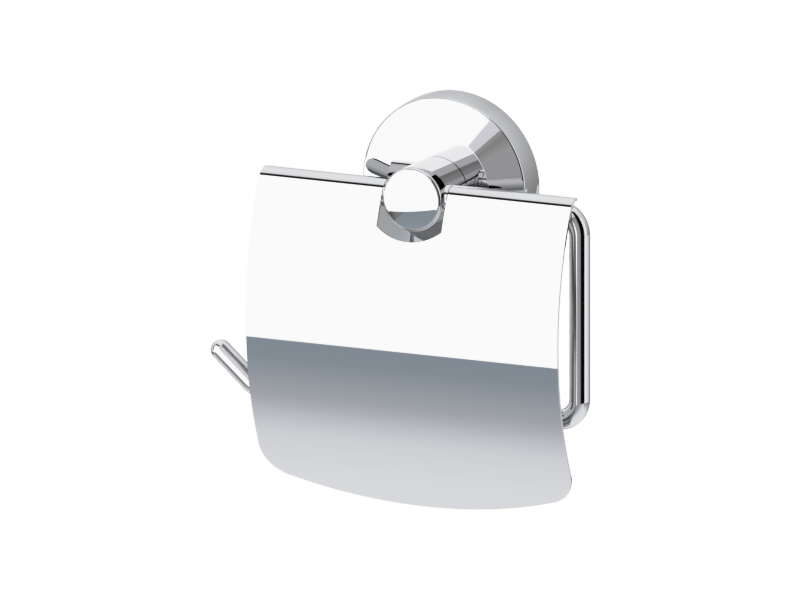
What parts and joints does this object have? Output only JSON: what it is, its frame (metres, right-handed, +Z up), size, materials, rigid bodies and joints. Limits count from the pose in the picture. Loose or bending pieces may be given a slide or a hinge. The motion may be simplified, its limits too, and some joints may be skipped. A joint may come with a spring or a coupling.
{
  "type": "toilet paper holder",
  "caption": "Wall-hung toilet paper holder: round cone-faced flange, short post, bent rod with an open hook end, and a curved lid hinged on the rod.",
  "frame": {"origin": "on the wall plane, on the shared axis of the flange and the post", "axes": "+Z up, -Y out of the wall towards the user, +X to the viewer's right"},
  "size_m": [0.1593, 0.0475, 0.157],
  "materials": {
    "chrome_casting": "polished chrome plate on cast and turned metal",
    "chrome_rod": "polished chrome plate on drawn rod",
    "chrome_sheet": "polished chrome plate on rolled sheet",
    "zinc_casting": "bare die casting, matt grey",
    "screw_steel": "zinc-plated steel"
  },
  "bodies": {
    "holder": {"wall_bracket": "zinc_casting", "flange": "chrome_casting", "flange_grub_screw": "screw_steel", "post": "chrome_casting", "post_washer": "screw_steel", "post_screw": "screw_steel", "holder_rod": "chrome_rod", "rod_grub_screw": "screw_steel", "spacer_left": "chrome_rod", "spacer_right": "chrome_rod"},
    "lid": {"lid": "chrome_sheet"}
  },
  "joints": [
    {"name": "lid_hinge", "type": "hinge", "parent": "holder", "child": "lid", "pos_m": [0, -0.031, 0], "axis": [-1, 0, 0], "range_deg": [-4.5, 95]}
  ]
}
